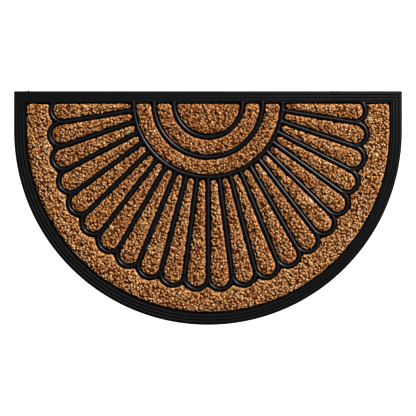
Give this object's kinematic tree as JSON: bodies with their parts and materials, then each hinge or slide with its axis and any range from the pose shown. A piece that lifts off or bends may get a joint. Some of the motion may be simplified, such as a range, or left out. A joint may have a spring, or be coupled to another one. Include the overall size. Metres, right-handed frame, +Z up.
{
  "type": "half-round coir doormat",
  "caption": "Flat half-round doormat: coir panels set in the cells of a moulded rubber tray with a ridged border and a fan of raised ribs.",
  "frame": {"origin": "middle of the mat's bounding box, on the surface it lies on", "axes": "+Z up out of the pile, +X along the flat edge, +Y from the round edge towards the flat edge"},
  "size_m": [0.762, 0.459, 0.01],
  "materials": {
    "rubber": "black moulded rubber, low sheen on the beads and ridges",
    "coir": "matt brown coir fibre in short curly tufts, with light tips and dark gaps"
  },
  "bodies": {
    "root": {"rubber_tray": "rubber", "coir_margin": "coir", "coir_half_disc": "coir", "coir_inner_ring": "coir", "coir_outer_ring": "coir", "coir_petal_01": "coir", "coir_petal_02": "coir", "coir_petal_03": "coir", "coir_petal_04": "coir", "coir_petal_05": "coir", "coir_petal_06": "coir", "coir_petal_07": "coir", "coir_petal_08": "coir", "coir_petal_09": "coir", "coir_petal_10": "coir", "coir_petal_11": "coir", "coir_petal_12": "coir", "coir_petal_13": "coir", "coir_petal_14": "coir", "coir_petal_15": "coir", "coir_petal_16": "coir", "coir_petal_17": "coir", "coir_petal_18": "coir", "coir_petal_19": "coir", "coir_petal_20": "coir", "coir_petal_21": "coir", "coir_petal_22": "coir"}
  },
  "joints": []
}
